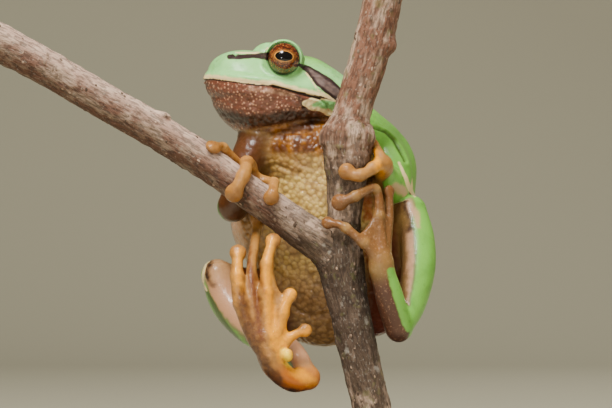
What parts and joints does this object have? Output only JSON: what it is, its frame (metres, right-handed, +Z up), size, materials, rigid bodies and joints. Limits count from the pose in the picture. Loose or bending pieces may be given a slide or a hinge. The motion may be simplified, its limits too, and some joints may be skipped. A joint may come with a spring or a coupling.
{
  "type": "tree frog model",
  "caption": "Life-size still model of a European tree frog gripping a forked twig, on a plain round display stand.",
  "frame": {"origin": "middle of the underside of the round base", "axes": "+Z up; -Y towards the viewer whom the frog's belly faces; +X to the frog's left, away from where its snout points"},
  "size_m": [0.0714, 0.058, 0.0696],
  "materials": {
    "green": "smooth, slightly moist green skin",
    "belly": "granular cream skin",
    "flank": "red-brown skin of the inner leg",
    "bronze": "dark brown skin of the lower leg",
    "digits": "orange-yellow skin of hand and foot",
    "web": "brown skin of the gripping foot",
    "eye": "glossy copper",
    "bark": "rough bark",
    "base": "satin dark grey",
    "rod": "satin"
  },
  "bodies": {
    "root": {"head": "green", "torso": "belly", "upper_arm_l": "green", "upper_arm_r": "green", "forearm_l": "green", "forearm_r": "green", "hand_l": "digits", "hand_r": "digits", "thigh_l": "flank", "thigh_r": "flank", "shank_l": "green", "shank_r": "green", "tarsus_l": "bronze", "tarsus_r": "bronze", "foot_l": "web", "foot_r": "digits", "eye_l": "eye", "eye_r": "eye", "perch_stem": "bark", "perch_branch": "bark", "stand_base": "base", "stand_rod": "rod"}
  },
  "joints": []
}
